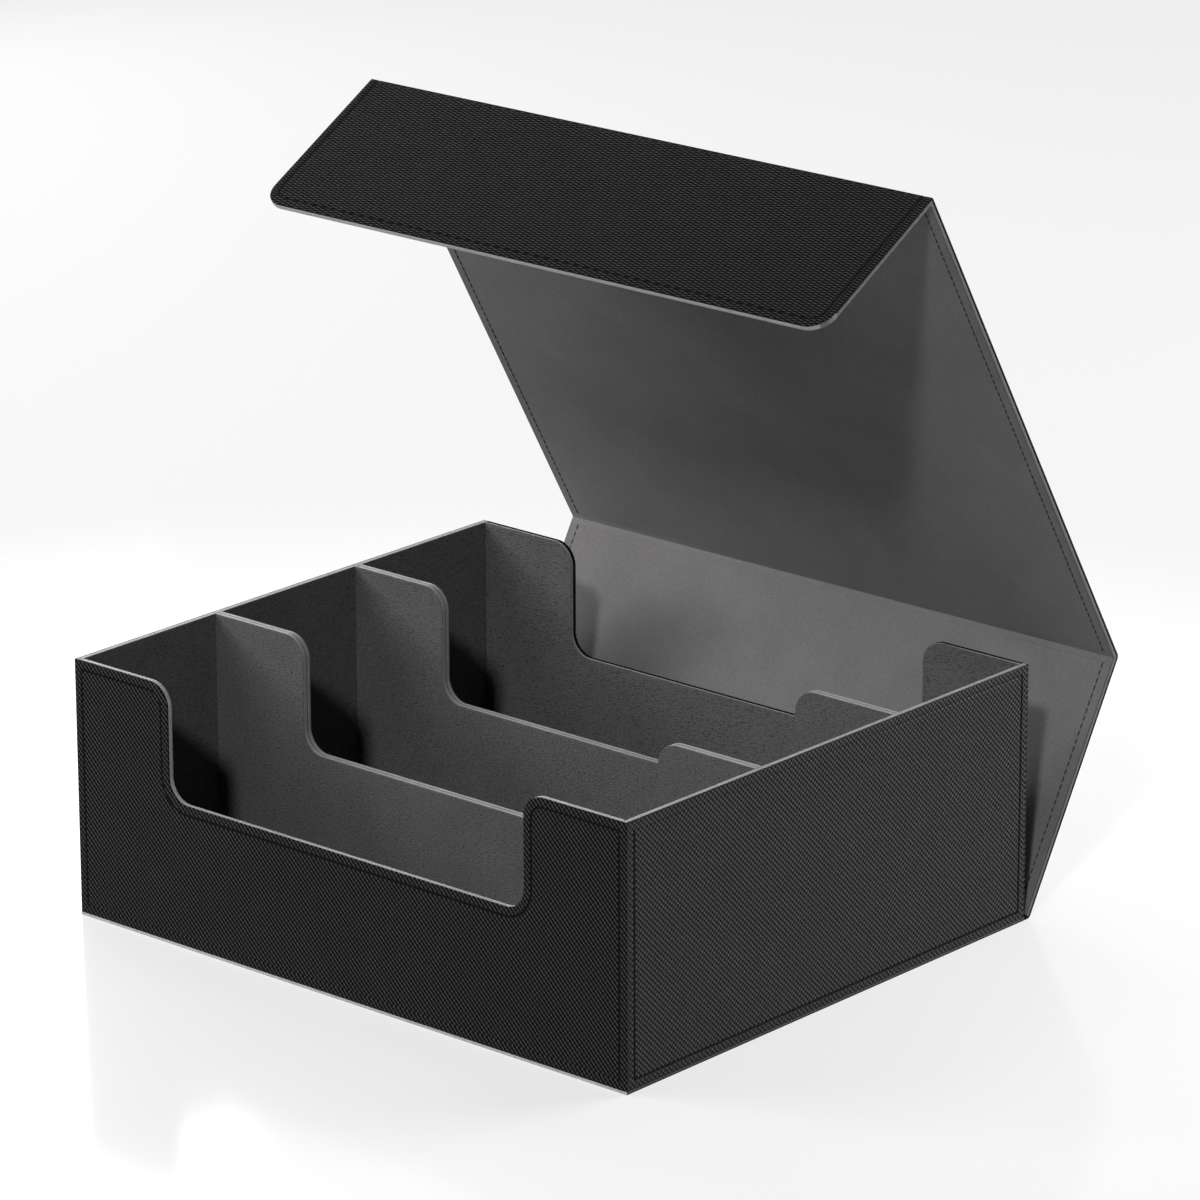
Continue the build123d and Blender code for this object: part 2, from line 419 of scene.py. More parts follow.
def foot_finishes(side, edge):
    """Finishes of the binding round the flap's foot: the pale edge runs between mid-corners, and the outer
    half of each corner takes the lining's grey, painted shade where the side lamp would light the pale edge
    to a highlight.
    """
    half_arc = ARC_STEPS // 2
    along = [side] * (half_arc + 1) + [edge] * (2 * half_arc + 1) + [side] * (half_arc + 1)
    return [along if row == edge else row for row in binding_finishes(side, edge)]


def add_binding(piece, face, path, width, finish=0):
    """The binding along an open edge of a board."""
    rows = path_rows(face, binding_profile(width), path, closed=False)
    piece.loft(rows, ring=False, tube=True, finish=finish)


def add_lip(piece, face, path, width=LIP):
    """The covering's narrow turn over an edge of a wall or panel."""
    rows = path_rows(face, lip_profile(width), path, closed=False)
    piece.loft(rows, ring=False, tube=True, finish=1)


class Tree:
    """Short hand for building a node tree."""

    def __init__(self, tree):
        self.tree = tree

    def node(self, kind, **settings):
        made = self.tree.nodes.new(kind)
        for key, value in settings.items():
            setattr(made, key, value)
        return made

    def feed(self, socket, value):
        if isinstance(value, bpy.types.NodeSocket):
            self.tree.links.new(value, socket)
        else:
            socket.default_value = value

    def math(self, operation, *values):
        made = self.node("ShaderNodeMath", operation=operation)
        for socket, value in zip(made.inputs, values):
            self.feed(socket, value)
        return made.outputs[0]

    def noise(self, place, scale, detail=3.0, roughness=0.55):
        made = self.node("ShaderNodeTexNoise")
        self.feed(made.inputs["Vector"], place)
        made.inputs["Scale"].default_value = scale
        made.inputs["Detail"].default_value = detail
        made.inputs["Roughness"].default_value = roughness
        return made.outputs["Fac"]

    def ramp(self, value, stops, interpolation="EASE"):
        """Ramp from (position, level) stops; a level is a grey or a colour."""
        made = self.node("ShaderNodeValToRGB")
        made.color_ramp.interpolation = interpolation
        elements = made.color_ramp.elements
        while len(elements) < len(stops):
            elements.new(1.0)
        for element, (position, level) in zip(elements, stops):
            colour = level if isinstance(level, tuple) else (level, level, level)
            element.position = position
            element.color = colour + (1,)
        self.feed(made.inputs["Fac"], value)
        return made.outputs["Color"]

    def spread(self, noise, low, high):
        """Runs from a low level to a high one over the middle of a noise."""
        return self.ramp(noise, [(0.3, low), (0.7, high)], "LINEAR")

    def roughen(self, shader, noise, least, extra):
        """Roughness from the least upwards, uneven with a noise."""
        self.feed(shader.inputs["Roughness"], self.math("MULTIPLY_ADD", noise, extra, least))

    def multiply_colours(self, one, other):
        made = self.node("ShaderNodeMix", data_type="RGBA", blend_type="MULTIPLY")
        made.inputs[0].default_value = 1.0
        self.feed(made.inputs[6], one)
        self.feed(made.inputs[7], other)
        return made.outputs[2]

    def bump(self, height, distance, under=None):
        made = self.node("ShaderNodeBump")
        made.inputs["Strength"].default_value = 1.0
        made.inputs["Distance"].default_value = distance * MM
        self.feed(made.inputs["Height"], height)
        if under:
            self.feed(made.inputs["Normal"], under)
        return made.outputs["Normal"]


def new_finish(name):
    """A material with its principled shader."""
    material = bpy.data.materials.new(name)
    material.use_nodes = True
    return material, Tree(material.node_tree), material.node_tree.nodes["Principled BSDF"]


def object_place(tree):
    return tree.node("ShaderNodeTexCoord").outputs["Object"]


def woven_leatherette(name, pitches, twill_share, level, hole, gloss):
    """Matt black leatherette embossed like a weave with leaning threads. Its colour carries painted shade:
    near black in the holes between the threads, and diagonal shading stripes drawn by the twill share.
    """
    material, tree, shader = new_finish(name)
    place = object_place(tree)
    weave = tree.node("ShaderNodeUVMap", uv_map="weave").outputs["UV"]
    split = tree.node("ShaderNodeSeparateXYZ")
    tree.feed(split.inputs[0], weave)
    turns = []
    for axis, pitch in zip("XY", pitches):
        turns.append(tree.math("MULTIPLY", split.outputs[axis], 2 * pi / pitch))
    twill = tree.math("COSINE", tree.math("ADD", *turns))
    weft = tree.math("COSINE", tree.math("SUBTRACT", *turns))
    lattice = tree.math("MULTIPLY_ADD", twill, twill_share, tree.math("MULTIPLY", weft, 1.0 - twill_share))
    thread = tree.math("MULTIPLY_ADD", lattice, 0.5, 0.5)
    grain = tree.noise(place, 1800, 2.0)
    patches = tree.noise(place, 45, 2.0)
    # Painted shade: the colour follows the emboss down to near black in the holes, and the twill share
    # paints light's diagonal shading stripes into it
    black = tree.ramp(thread, [(0.0, 0.2 * hole), (0.42, hole), (0.78, 0.034 * level), (1.0, 0.055 * level)])
    worn = tree.spread(patches, 0.95, 1.05)
    grained = tree.spread(grain, 0.88, 1.12)
    uneven = tree.multiply_colours(black, worn)
    tree.feed(shader.inputs["Base Color"], tree.multiply_colours(uneven, grained))
    tree.roughen(shader, grain, 0.5, 0.2)
    shader.inputs["Specular IOR Level"].default_value = gloss
    tree.feed(shader.inputs["Normal"], tree.bump(grain, 0.03, tree.bump(thread, 0.5)))
    return material


def microfibre(name, level, nap_share, pit_size, pit_depth, relief):
    """Grey microfibre with a fine nap and small dark pits, brushed along the level."""
    material, tree, shader = new_finish(name)
    place = object_place(tree)
    nap = tree.noise(place, 2200, 2.0, 0.6)
    drawn = tree.node("ShaderNodeMapping")
    tree.feed(drawn.inputs["Vector"], place)
    drawn.inputs["Scale"].default_value = NAP_DRAW
    pits = tree.noise(drawn.outputs["Vector"], 1 / (pit_size * MM), 2.0, 0.6)
    brushed = tree.noise(place, 40, 3.0)
    dark = tuple((1 - nap_share) * level * tint for tint in LINING_TINT)
    pale = tuple((1 + nap_share) * level * tint for tint in LINING_TINT)
    grey = tree.spread(nap, dark, pale)
    pitted = tree.ramp(pits, [(0.32, 1.0 - 4.0 * pit_depth), (0.46, 1.0)], "LINEAR")
    shade = tree.spread(brushed, 0.93, 1.05)
    flecked = tree.multiply_colours(grey, pitted)
    tree.feed(shader.inputs["Base Color"], tree.multiply_colours(flecked, shade))
    tree.roughen(shader, nap, 0.8, 0.15)
    shader.inputs["Specular IOR Level"].default_value = LINING_GLOSS
    shader.inputs["Sheen Weight"].default_value = LINING_SHEEN
    shader.inputs["Sheen Roughness"].default_value = SHEEN_ROUGHNESS
    tree.feed(shader.inputs["Normal"], tree.bump(nap, 0.05, tree.bump(pits, relief)))
    return material


def pale_binding(name, level):
    """Pale grey cut edge of the lining, turned over the boards."""
    material, tree, shader = new_finish(name)
    place = object_place(tree)
    fibres = tree.noise(place, 1200, 3.0)
    stains = tree.noise(place, 90, 2.0)
    grey = tree.spread(fibres, level * 0.85, level * 1.15)
    shade = tree.spread(stains, 0.88, 1.06)
    tree.feed(shader.inputs["Base Color"], tree.multiply_colours(grey, shade))
    tree.roughen(shader, fibres, 0.5, 0.2)
    tree.feed(shader.inputs["Normal"], tree.bump(fibres, 0.06))
    return material


def hem_groove_shade(name):
    """Near-black leatherette, darker than the face: painted shade at the bottom of a hem's groove along a
    line of stitches and at the base's side and rear edges; the covering's narrow turns over edges take it
    too.
    """
    material, tree, shader = new_finish(name)
    grain = tree.noise(object_place(tree), 1500, 2.0)
    # Painted shade: near black, darker than the leatherette's face
    tree.feed(shader.inputs["Base Color"], tree.spread(grain, 0.006, 0.013))
    tree.roughen(shader, grain, 0.6, 0.2)
    shader.inputs["Specular IOR Level"].default_value = HEM_GLOSS
    tree.feed(shader.inputs["Normal"], tree.bump(grain, 0.04))
    return material


def waxed_thread(name, level):
    """Stitching thread with a fine twist."""
    material, tree, shader = new_finish(name)
    place = object_place(tree)
    twist = tree.noise(place, 2600, 2.0)
    grey = tree.spread(twist, level * 0.6, level * 1.4)
    tree.feed(shader.inputs["Base Color"], grey)
    tree.roughen(shader, twist, 0.5, 0.2)
    shader.inputs["Specular IOR Level"].default_value = THREAD_GLOSS
    tree.feed(shader.inputs["Normal"], tree.bump(twist, 0.08))
    return material


def grey_board(name):
    """Pressed grey board with paper fibres, seen at its cut edges."""
    material, tree, shader = new_finish(name)
    place = object_place(tree)
    fibres = tree.noise(place, 700, 4.0)
    pulp = tree.noise(place, 120, 3.0)
    grey = tree.spread(fibres, (0.40, 0.395, 0.385), (0.52, 0.515, 0.50))
    shade = tree.spread(pulp, 0.9, 1.06)
    tree.feed(shader.inputs["Base Color"], tree.multiply_colours(grey, shade))
    tree.roughen(shader, fibres, 0.75, 0.15)
    tree.feed(shader.inputs["Normal"], tree.bump(fibres, 0.05))
    return material


def board_with_painted_edge_shade(name):
    """The base's board: pale grey at its cut front edge, with painted shade, near black, at its other edges.
    """
    material = grey_board(name)
    tree = Tree(material.node_tree)
    shader = material.node_tree.nodes["Principled BSDF"]
    split = tree.node("ShaderNodeSeparateXYZ")
    tree.feed(split.inputs[0], object_place(tree))
    # Painted shade: away from the front edge the board is darkened to near black
    in_front = tree.math("LESS_THAN", split.outputs["Y"], (PALE_EDGE_DEPTH - HALF_WIDTH) * MM)
    share = tree.math("MULTIPLY_ADD", in_front, 1.0 - PAINTED_EDGE_SHADE_SHARE, PAINTED_EDGE_SHADE_SHARE)
    pale = shader.inputs["Base Color"].links[0].from_socket
    tree.feed(shader.inputs["Base Color"], tree.multiply_colours(pale, share))
    return material


def plated_magnet(name):
    """Bright plating on the magnet discs, with fine tumbling marks."""
    material, tree, shader = new_finish(name)
    place = object_place(tree)
    marks = tree.noise(place, 900, 4.0)
    grey = tree.spread(marks, (0.52, 0.52, 0.53), (0.66, 0.66, 0.66))
    tree.feed(shader.inputs["Base Color"], grey)
    shader.inputs["Metallic"].default_value = 1.0
    tree.roughen(shader, marks, 0.22, 0.2)
    tree.feed(shader.inputs["Normal"], tree.bump(marks, 0.01))
    return material


# Painted light: one leatherette in lit and shaded copies; the front, sides and cover take their own levels,
# hole tones and twill shares, standing in for how the lamps fall on each face
wall_leatherette = woven_leatherette(
    "black_leatherette_front", WALL_WEAVE, twill_share=0.75, level=1.2, hole=0.001, gloss=0.035)
side_leatherette = woven_leatherette(
    "black_leatherette_sides", WALL_WEAVE, twill_share=0.44, level=1.05, hole=0.011, gloss=0.05)
cover_leatherette = woven_leatherette(
    "black_leatherette_cover", COVER_WEAVE, twill_share=0.52, level=1.2, hole=0.003, gloss=0.01)
hem_finish = hem_groove_shade("black_hem_groove_shade")
# Painted light: one microfibre in a darker copy for the tray, painted shade inside it, and a lighter copy
# for the cover, painted light on the lid's underside
tray_lining = microfibre(
    "grey_microfibre_tray", level=0.12, nap_share=0.35, pit_size=0.66, pit_depth=0.14, relief=0.45)
cover_lining = microfibre(
    "grey_microfibre_cover", level=0.176, nap_share=0.2, pit_size=0.6, pit_depth=0.02, relief=0.06)
# Painted shade: the cover's side edges and crease ends take a darker copy of the lining, holding back the
# side lamp's light on them
side_binding = microfibre(
    "grey_binding_cover", level=0.11, nap_share=0.2, pit_size=0.6, pit_depth=0.04, relief=0.06)
# Painted shade: the tray's rims take a darker copy of the pale binding than the flap's foot, standing in for
# less light on the rims
binding_finish = pale_binding("pale_binding_tray", level=0.285)
flap_binding = pale_binding("pale_binding_flap", level=0.36)
hem_thread = waxed_thread("black_hem_thread", level=0.006)
lining_thread = waxed_thread("dark_lining_thread", level=0.012)
board_finish = grey_board("grey_board")
base_board_finish = board_with_painted_edge_shade("board_with_painted_edge_shade")
magnet_finish = plated_magnet("plated_magnet")

# Faces of the tray, seen from outside
front_face = Face((0, -HALF_WIDTH, 0), (1, 0, 0), (0, 0, 1))
rear_face = Face((0, HALF_WIDTH, 0), (-1, 0, 0), (0, 0, 1))
left_face = Face((-HALF_LENGTH, 0, 0), (0, -1, 0), (0, 0, 1))
right_face = Face((HALF_LENGTH, 0, 0), (0, 1, 0), (0, 0, 1))
base_face = Face((0, 0, 0), (-1, 0, 0), (0, 1, 0))

# Lines that stitches follow, kept by body and by thread
stitch_lines = {}


def keep_stitch_line(body, thread, face, path, inset, depth=STITCH_DEPTH):
    """Keeps an open line of stitches, sunk in the sheet at that inset."""
    line = [face.place(u, v, depth) for u, v in outline(path, inset, closed=False)]
    stitch_lines.setdefault((body, thread), []).append(line)


def dress_wall(side, face, notched):
    """Covering, lining and binding of one outer wall."""
    cover_half = HALF_LENGTH if notched else HALF_WIDTH - SKIN
    lining_half = INNER_LENGTH if notched else INNER_WIDTH
    rim_half = INNER_LENGTH if notched else HALF_WIDTH - SKIN
    cover_corners = notched_wall(cover_half, BASE_TOP) if notched else rectangle(cover_half, BASE_TOP, RIM)
    cover = Piece(f"{side}_wall_leatherette")
    plain_edge = FOOT_EDGE if notched else TOP_EDGE
    profile = sheet_profile(SKIN, WALL_EDGE, HEM)
    add_sheet(cover, face, cover_corners, profile, hem_finish=1, plain_edge=plain_edge)
    lip = REAR_LIP if side == "rear" else 0
    if lip:
        add_lip(cover, face, notched_rim(INNER_LENGTH + LIP), lip)
    leatherette = wall_leatherette if notched else side_leatherette
    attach(stand(cover.mesh(leatherette, hem_finish), [f"{side}_wall_cover"]), "tray")
    if notched:
        hem_corners = notched_wall(cover_half, BASE_TOP + SEAM_END)
    else:
        hem_corners = rectangle(cover_half, BASE_TOP, RIM - SEAM_END)
    after_plain = plain_edge + 1
    keep_stitch_line("tray", "hem", face, hem_corners[after_plain:] + hem_corners[:after_plain], HEM)

    inner = face.behind(PANEL)
    if notched:
        sheet_corners = notched_wall(lining_half, LANE_FLOOR)
        rim_path = notched_rim(rim_half)
    else:
        sheet_corners = rectangle(lining_half, LANE_FLOOR, RIM)
        rim_path = [(rim_half, RIM, 0), (-rim_half, RIM, 0)]
    lining = Piece(f"{side}_wall_microfibre")
    add_sheet(lining, inner, inset_top(sheet_corners, LINING), sheet_profile(LINING, LINING_EDGE))
    add_binding(lining, inner, rim_path, PANEL - SKIN - lip, finish=binding_finishes(0, 1))
    mesh = lining.mesh(tray_lining, binding_finish)
    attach(stand(mesh, [f"{side}_wall_lining"]), "tray")


def dress_divider(divider, side):
    """Lining and binding of one ply of a divider; the side is the way that the ply looks."""
    low, high = box_mm(f"{divider}_divider_{side}_lining")
    if side == "front":
        face = Face((0, low.y, 0), (1, 0, 0), (0, 0, 1))
    else:
        face = Face((0, high.y, 0), (-1, 0, 0), (0, 0, 1))
    ply = Piece(f"{divider}_divider_{side}_microfibre")
    corners = inset_top(notched_wall(INNER_LENGTH, LANE_FLOOR), LINING)
    add_sheet(ply, face, corners, sheet_profile(LINING, LINING_EDGE))
    add_binding(ply, face, notched_rim(INNER_LENGTH), high.y - low.y, finish=binding_finishes(0, 1))
    mesh = ply.mesh(tray_lining, binding_finish)
    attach(stand(mesh, [f"{divider}_divider_{side}_lining"]), "tray")


def dress_lane(lane):
    """Lining on the floor of one lane."""
    low, high = box_mm(f"{lane}_lane_lining")
    middle = (low.y + high.y) / 2
    half = (high.y - low.y) / 2
    face = Face((0, middle, high.z), (1, 0, 0), (0, 1, 0))
    lining = Piece(f"{lane}_lane_microfibre")
    add_sheet(lining, face, rectangle(high.x, -half, half), sheet_profile(high.z - low.z, LINING_EDGE))
    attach(stand(lining.mesh(tray_lining), [f"{lane}_lane_lining"]), "tray")


def dress_base():
    """Covering under the tray, with a pale cut edge in front and painted shade, near black, at its other
    edges.
    """
    base = Piece("base_leatherette")
    corners = rectangle(HALF_LENGTH, -HALF_WIDTH, HALF_WIDTH)
    # Painted shade: the edges other than the front take the near-black hem finish
    pale_front_shaded_rest = [1, 2, 2, 2]
    profile = sheet_profile(SKIN, BASE_EDGE, HEM)
    add_sheet(base, base_face, corners, profile, edge_finish=pale_front_shaded_rest, hem_finish=2)
    mesh = base.mesh(wall_leatherette, board_finish, hem_finish)
    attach(stand(mesh, ["base_cover"]), "tray")


# Cover panels, each drawn from its fold line, with its direction in degrees up from +Y
fold_lines = {joint["child"]: Vector(joint["pos_m"]) / MM for joint in frame["joints"]}
back_line = fold_lines["back_panel"]
top_line = fold_lines["top_panel"]
flap_line = fold_lines["front_flap"]
BACK_LENGTH = (top_line - back_line).length
TOP_LENGTH = (flap_line - top_line).length
BACK_ANGLE = 60.0
TOP_ANGLE = 120.0
FLAP_ANGLE = 210.0


def panel_face(line, angle):
    """A cover panel's outer face, with up along the panel."""
    return Face(line, (-1, 0, 0), (0, cos(radians(angle)), sin(radians(angle))))


def covering_section():
    """Section of the cover's leatherette across the box, as (across, depth), hemmed at both sides."""
    right = [(HALF_LENGTH - inset, depth) for inset, depth in sheet_profile(SKIN, COVER_EDGE, HEM)]
    left = [(-across, depth) for across, depth in reversed(right)]
    return right + left


def section_finishes(section):
    """Finish of each row of a covering section: 1, the groove's painted shade, in the hems' grooves."""
    insets = [(HALF_LENGTH - abs(across), depth) for across, depth in section]
    return [int(pressed) for pressed in pressed_rows(insets)]


def add_covering(piece, face, near, far):
    """The leatherette of a panel between its two folds, hemmed at both sides."""
    section = covering_section()
    rows = [[face.point(across, v, depth) for v in (near, far)] for across, depth in section]
    piece.loft(rows, ring=False, tube=True, finish=section_finishes(section))


def add_flap_covering(piece, face, edge):
    """The leatherette of the flap, hemmed along its sides and its lower edge."""
    profile = sheet_profile(SKIN, COVER_EDGE, HEM)
    rows = path_rows(face, profile, edge, closed=False)
    piece.apron(rows, [int(pressed) for pressed in pressed_rows(profile)])


def dress_panel(panel, body, face, cover_edges, lip_edges, lining_corners, grey_edges, pale_edges, seams):
    """Covering, lining, bindings and stitch lines of one panel of the cover."""
    cover = Piece(f"{panel}_leatherette")
    if len(cover_edges) == 1:
        add_flap_covering(cover, face, cover_edges[0])
    else:
        right_edge = cover_edges[0]
        add_covering(cover, face, right_edge[0][1], right_edge[1][1])
    for edge in lip_edges:
        add_lip(cover, face, edge)
    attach(stand(cover.mesh(cover_leatherette, hem_finish), [f"{panel}_cover"]), body)
    for edge in cover_edges:
        keep_stitch_line(body, "hem", face, edge, HEM)
    inner = face.behind(PANEL)
    lining = Piece(f"{panel}_microfibre")
    add_sheet(lining, inner, lining_corners, sheet_profile(LINING, LINING_EDGE))
    for path in grey_edges:
        add_binding(lining, inner, path, EDGE_WIDTH, finish=1)
    for path in pale_edges:
        add_binding(lining, inner, path, PANEL - SKIN, finish=foot_finishes(0, 2))
    mesh = lining.mesh(cover_lining, side_binding, flap_binding)
    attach(stand(mesh, [f"{panel}_lining"]), body)
    for seam in seams:
        keep_stitch_line(body, "lining", inner, seam, LINING_HEM, depth=LINING_STITCH_DEPTH)


def side_edges(near, far):
    """The right and left edges of a panel, between two distances from its fold line."""
    right = [(HALF_LENGTH, near, 0), (HALF_LENGTH, far, 0)]
    left = [(-HALF_LENGTH, far, 0), (-HALF_LENGTH, near, 0)]
    return [right, left]


def dress_cover():
    """The three panels of the fold-over cover."""
    inside = HALF_LENGTH - LINING
    back_near, back_far = BACK_FOOT, BACK_LENGTH - CREASE_REACH
    back_foot = [(-HALF_LENGTH, back_far, 0), (-HALF_LENGTH, back_near, 0),
                 (HALF_LENGTH, back_near, 0), (HALF_LENGTH, back_far, 0)]
    back_edges = side_edges(FOLD_REACH, BACK_LENGTH - FOLD_REACH)
    dress_panel(
        "back_panel", "back_panel", panel_face(back_line, BACK_ANGLE), back_edges, back_edges,
        rectangle(inside, back_near + LINING, back_far),
        [back_foot], [], side_edges(back_near + SEAM_END, back_far - SEAM_END),
    )
    top_near, top_far = CREASE_REACH, TOP_LENGTH - CREASE_REACH
    top_edges = side_edges(FOLD_REACH, TOP_LENGTH - FOLD_REACH)
    top_sides = side_edges(top_near, top_far)
    dress_panel(
        "top_panel", "top_panel", panel_face(top_line, TOP_ANGLE), top_edges, top_edges,
        rectangle(inside, top_near, top_far),
        top_sides, [], side_edges(top_near + SEAM_END, top_far - SEAM_END),
    )
    edge = FLAP_LENGTH - LINING
    corner = FLAP_LENGTH - FLAP_RADIUS - FLAP_STRAIGHT
    flap_foot = [(HALF_LENGTH, corner, 0), (HALF_LENGTH, FLAP_LENGTH, FLAP_RADIUS),
                 (-HALF_LENGTH, FLAP_LENGTH, FLAP_RADIUS), (-HALF_LENGTH, corner, 0)]
    seam_start = CREASE_REACH + SEAM_END
    flap_seam = [(HALF_LENGTH, seam_start, 0)] + flap_foot[1:3] + [(-HALF_LENGTH, seam_start, 0)]
    dress_panel(
        "flap", "front_flap", panel_face(flap_line, FLAP_ANGLE),
        [[(HALF_LENGTH, FOLD_REACH, 0)] + flap_foot[1:3] + [(-HALF_LENGTH, FOLD_REACH, 0)]],
        side_edges(FOLD_REACH, corner),
        [(-inside, CREASE_REACH, 0), (inside, CREASE_REACH, 0),
         (inside, edge, FLAP_RADIUS - LINING), (-inside, edge, FLAP_RADIUS - LINING)],
        side_edges(CREASE_REACH, corner), [flap_foot], [flap_seam],
    )


def fold_path(line, angle, turn, depth, lead, reach):
    """Points round a fold at a depth in from the outer face."""
    share = tan(radians(turn / 2))
    bend = max(FOLD_TANGENT / share - depth, CREASE_RADIUS)
    start = -depth * share - bend * share
    steps = [radians(turn) * step / BEND_STEPS for step in range(BEND_STEPS + 1)]
    flat = [(-lead, depth), ((start - lead) / 2, depth)]
    flat += [(start + bend * sin(a), depth + bend * (1 - cos(a))) for a in steps]
    ahead = Vector((cos(radians(turn)), sin(radians(turn))))
    inward = Vector((-ahead.y, ahead.x))
    last = ahead * reach + inward * depth
    flat += [tuple((Vector(flat[-1]) + last) / 2), tuple(last)]
    along = Vector((0, cos(radians(angle)), sin(radians(angle))))
    up = Vector((0, -along.z, along.y))
    return [Vector(line) + along * p + up * q for p, q in flat]


def strip_distance(path):
    """Distance run along a path, measured from its middle."""
    runs = [0.0]
    for one, other in zip(path, path[1:]):
        runs.append(runs[-1] + (other - one).length)
    return [run - runs[-1] / 2 for run in runs]


def add_fold_strip(piece, fold, section, finish=0):
    """Bends a closed section of (across, depth) points round a fold."""
    line, angle, turn, lead, reach = fold
    rows = []
    for across, depth in section:
        path = fold_path(line, angle, turn, depth, lead, reach)
        runs = strip_distance(path)
        aside = Vector((across, 0, 0))
        rows.append([((place + aside) * MM, (across, run)) for place, run in zip(path, runs)])
    piece.loft(rows, ring=False, tube=True, finish=finish)


def flat_section(half, near, far, edge):
    """Section of a strip across the box, with its two ends rounded."""
    middle = (near + far) / 2
    right = [(half - edge, near), (half - edge * 0.3, near + edge * 0.3), (half, middle)]
    right += [(half - edge * 0.3, far - edge * 0.3), (half - edge, far)]
    return right + [(-across, depth) for across, depth in reversed(right)]


def bend_between(piece, finishes, node, fold, depth):
    """Makes a fold strip's mesh and stands it in place of its imported node."""
    made = stand(piece.mesh(*finishes), [node])
    line, angle, turn, lead, reach = fold
    path = fold_path(line, angle, turn, depth, lead, reach)
    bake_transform(made)


def dress_fold(name, node, fold):
    """Covering strip outside a fold."""
    strip = Piece(f"{name}_leatherette")
    section = covering_section()
    add_fold_strip(strip, fold, section, finish=section_finishes(section))
    for side in (-1, 1):
        lip = [(side * (HALF_LENGTH - inset), depth) for inset, depth in lip_profile(LIP)]
        add_fold_strip(strip, fold, lip, finish=1)
    bend_between(strip, [cover_leatherette, hem_finish], node, fold, 0)


def dress_crease(name, node, fold):
    """Lining strip inside a fold, and the binding at its two ends."""
    strip = Piece(f"{name}_microfibre")
    inside = HALF_LENGTH - LINING
    add_fold_strip(strip, fold, flat_section(inside, PANEL - LINING, PANEL, LINING_EDGE), finish=0)
    profile = binding_profile(EDGE_WIDTH)
    for side in (-1, 1):
        section = [(side * (HALF_LENGTH - inset), PANEL - depth) for inset, depth in profile]
        add_fold_strip(strip, fold, section, finish=1)
    bend_between(strip, [cover_lining, side_binding], node, fold, PANEL)


def dress_folds():
    """Strips of covering and lining at the three folds."""
    back_turn = BACK_ANGLE
    top_turn = TOP_ANGLE - BACK_ANGLE
    flap_turn = FLAP_ANGLE - TOP_ANGLE
    foot_lead = back_line.y - HALF_WIDTH
    dress_fold("back_fold", "back_fold_cover",
               (back_line, 0.0, back_turn, foot_lead, FOLD_REACH))
    dress_fold("top_fold", "top_fold_cover",
               (top_line, BACK_ANGLE, top_turn, FOLD_REACH, FOLD_REACH))
    dress_fold("flap_fold", "flap_fold_cover",
               (flap_line, TOP_ANGLE, flap_turn, FOLD_REACH, FOLD_REACH))
    dress_crease("top_crease", "top_fold_lining",
                 (top_line, BACK_ANGLE, top_turn, CREASE_REACH, CREASE_REACH))
    dress_crease("flap_crease", "flap_fold_lining",
                 (flap_line, TOP_ANGLE, flap_turn, CREASE_REACH, CREASE_REACH))


def stitch_tree(material):
    """Geometry nodes that lay stitches along lines, end to end with a small gap."""
    tree = bpy.data.node_groups.new(f"stitches_{material.name}", "GeometryNodeTree")
    kit = Tree(tree)
    face = tree.interface
    face.new_socket("Lines", in_out="INPUT", socket_type="NodeSocketGeometry")
    inputs = {}
    for name in ("Pitch", "Stitch length", "Thread radius"):
        inputs[name] = face.new_socket(name, in_out="INPUT", socket_type="NodeSocketFloat").identifier
    face.new_socket("Stitches", in_out="OUTPUT", socket_type="NodeSocketGeometry")
    entry = kit.node("NodeGroupInput")
    leave = kit.node("NodeGroupOutput")

    curves = kit.node("GeometryNodeMeshToCurve")
    kit.feed(curves.inputs["Mesh"], entry.outputs["Lines"])
    spaced = kit.node("GeometryNodeResampleCurve", mode="LENGTH")
    kit.feed(spaced.inputs["Curve"], curves.outputs["Curve"])
    kit.feed(spaced.inputs["Length"], entry.outputs["Pitch"])

    stitch = kit.node("GeometryNodeMeshUVSphere")
    stitch.inputs["Segments"].default_value = STITCH_SEGMENTS
    stitch.inputs["Rings"].default_value = STITCH_RINGS
    half = kit.math("MULTIPLY", entry.outputs["Stitch length"], 0.5)
    size = kit.node("ShaderNodeCombineXYZ")
    for axis, value in zip("XYZ", (entry.outputs["Thread radius"], entry.outputs["Thread radius"], half)):
        kit.feed(size.inputs[axis], value)
    drawn = kit.node("GeometryNodeTransform")
    kit.feed(drawn.inputs["Geometry"], stitch.outputs["Mesh"])
    kit.feed(drawn.inputs["Scale"], size.outputs[0])

    turned = kit.node("FunctionNodeAlignRotationToVector", axis="Z")
    kit.feed(turned.inputs["Vector"], kit.node("GeometryNodeInputTangent").outputs[0])
    uneven = kit.node("FunctionNodeRandomValue", data_type="FLOAT")
    kit.feed(uneven.inputs[2], STITCH_SHORTEST)
    kit.feed(uneven.inputs[3], 1.0)
    kit.feed(uneven.inputs["Seed"], STITCH_SEED)
    laid = kit.node("GeometryNodeInstanceOnPoints")
    kit.feed(laid.inputs["Points"], spaced.outputs["Curve"])
    kit.feed(laid.inputs["Instance"], drawn.outputs["Geometry"])
    kit.feed(laid.inputs["Rotation"], turned.outputs["Rotation"])
    kit.feed(laid.inputs["Scale"], uneven.outputs[1])
    real = kit.node("GeometryNodeRealizeInstances")
    kit.feed(real.inputs["Geometry"], laid.outputs["Instances"])
    smooth = kit.node("GeometryNodeSetShadeSmooth")
    kit.feed(smooth.inputs["Geometry"], real.outputs["Geometry"])
    thread = kit.node("GeometryNodeSetMaterial")
    kit.feed(thread.inputs["Geometry"], smooth.outputs["Geometry"])
    thread.inputs["Material"].default_value = material
    kit.feed(leave.inputs["Stitches"], thread.outputs["Geometry"])
    return tree, inputs


